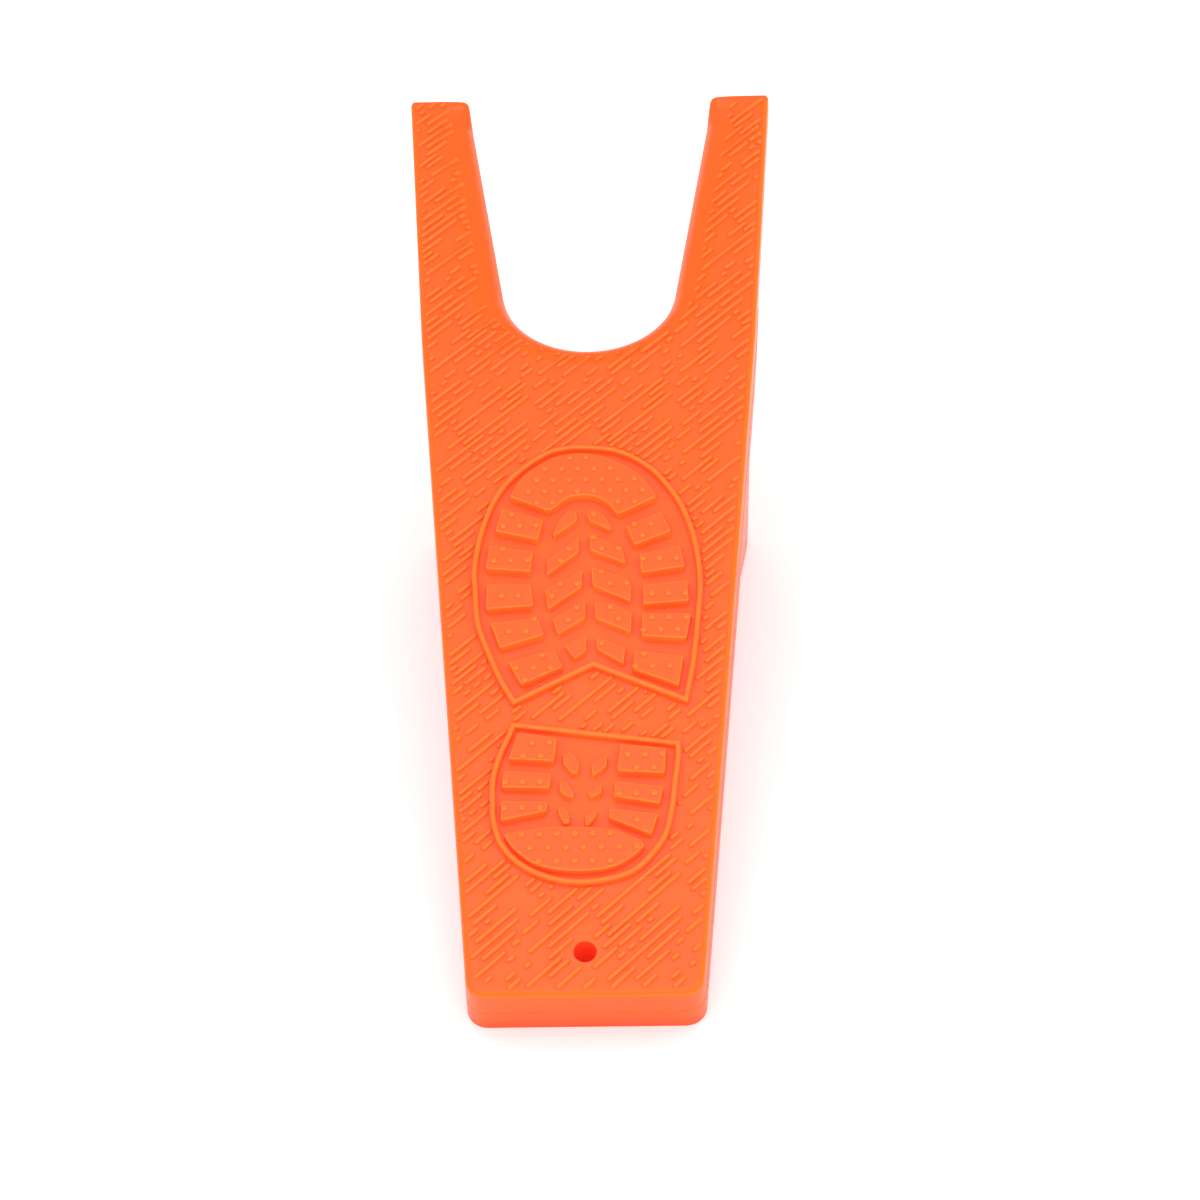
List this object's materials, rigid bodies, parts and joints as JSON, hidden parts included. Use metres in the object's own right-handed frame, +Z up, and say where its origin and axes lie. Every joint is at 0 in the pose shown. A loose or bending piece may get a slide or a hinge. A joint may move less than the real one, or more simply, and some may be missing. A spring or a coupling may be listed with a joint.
{
  "type": "boot jack",
  "caption": "Sloping step-on boot jack: tapered board on a cross leg with a rounded U notch, raised dashes, sole prints and a hanging hole.",
  "frame": {"origin": "middle of the bounding box, on the floor the jack stands on", "axes": "+Z up, +Y from the tail that is stepped on toward the fork, +X to the right seen from the tail"},
  "size_m": [0.1238, 0.337, 0.0908],
  "materials": {
    "shell": "satin translucent fluorescent orange",
    "grip_dash": "satin translucent fluorescent orange, lighter on the raised bars",
    "tread": "satin translucent fluorescent orange, pinker on the smooth prints"
  },
  "bodies": {
    "root": {"deck_plate": "shell", "fork_arm_left": "shell", "fork_arm_right": "shell", "notch_lip_bottom": "shell", "notch_lip_left": "shell", "notch_lip_right": "shell", "arm_skirt_left": "shell", "arm_skirt_right": "shell", "body_skirt_left": "shell", "body_skirt_right": "shell", "tail_skirt": "shell", "tip_wall_left": "shell", "tip_wall_right": "shell", "leg_wall": "shell", "leg_gusset_left": "shell", "leg_gusset_right": "shell", "foot_rail": "shell", "long_rib_left": "shell", "long_rib_right": "shell", "leg_brace_left": "shell", "leg_brace_right": "shell", "cross_rib_heel": "shell", "cross_rib_middle": "shell", "cross_rib_ball": "shell", "hanger_boss": "shell", "ball_rim": "tread", "toe_cap_lug": "tread", "ball_lugs_left": "tread", "ball_lugs_right": "tread", "ball_lugs_middle": "tread", "heel_rim": "tread", "heel_cap_lug": "tread", "heel_lugs_side": "tread", "heel_lugs_middle": "tread", "dashes_tail": "grip_dash", "dashes_left": "grip_dash", "dashes_right": "grip_dash", "dashes_middle": "grip_dash", "dashes_arm_left": "grip_dash", "dashes_arm_right": "grip_dash"}
  },
  "joints": []
}
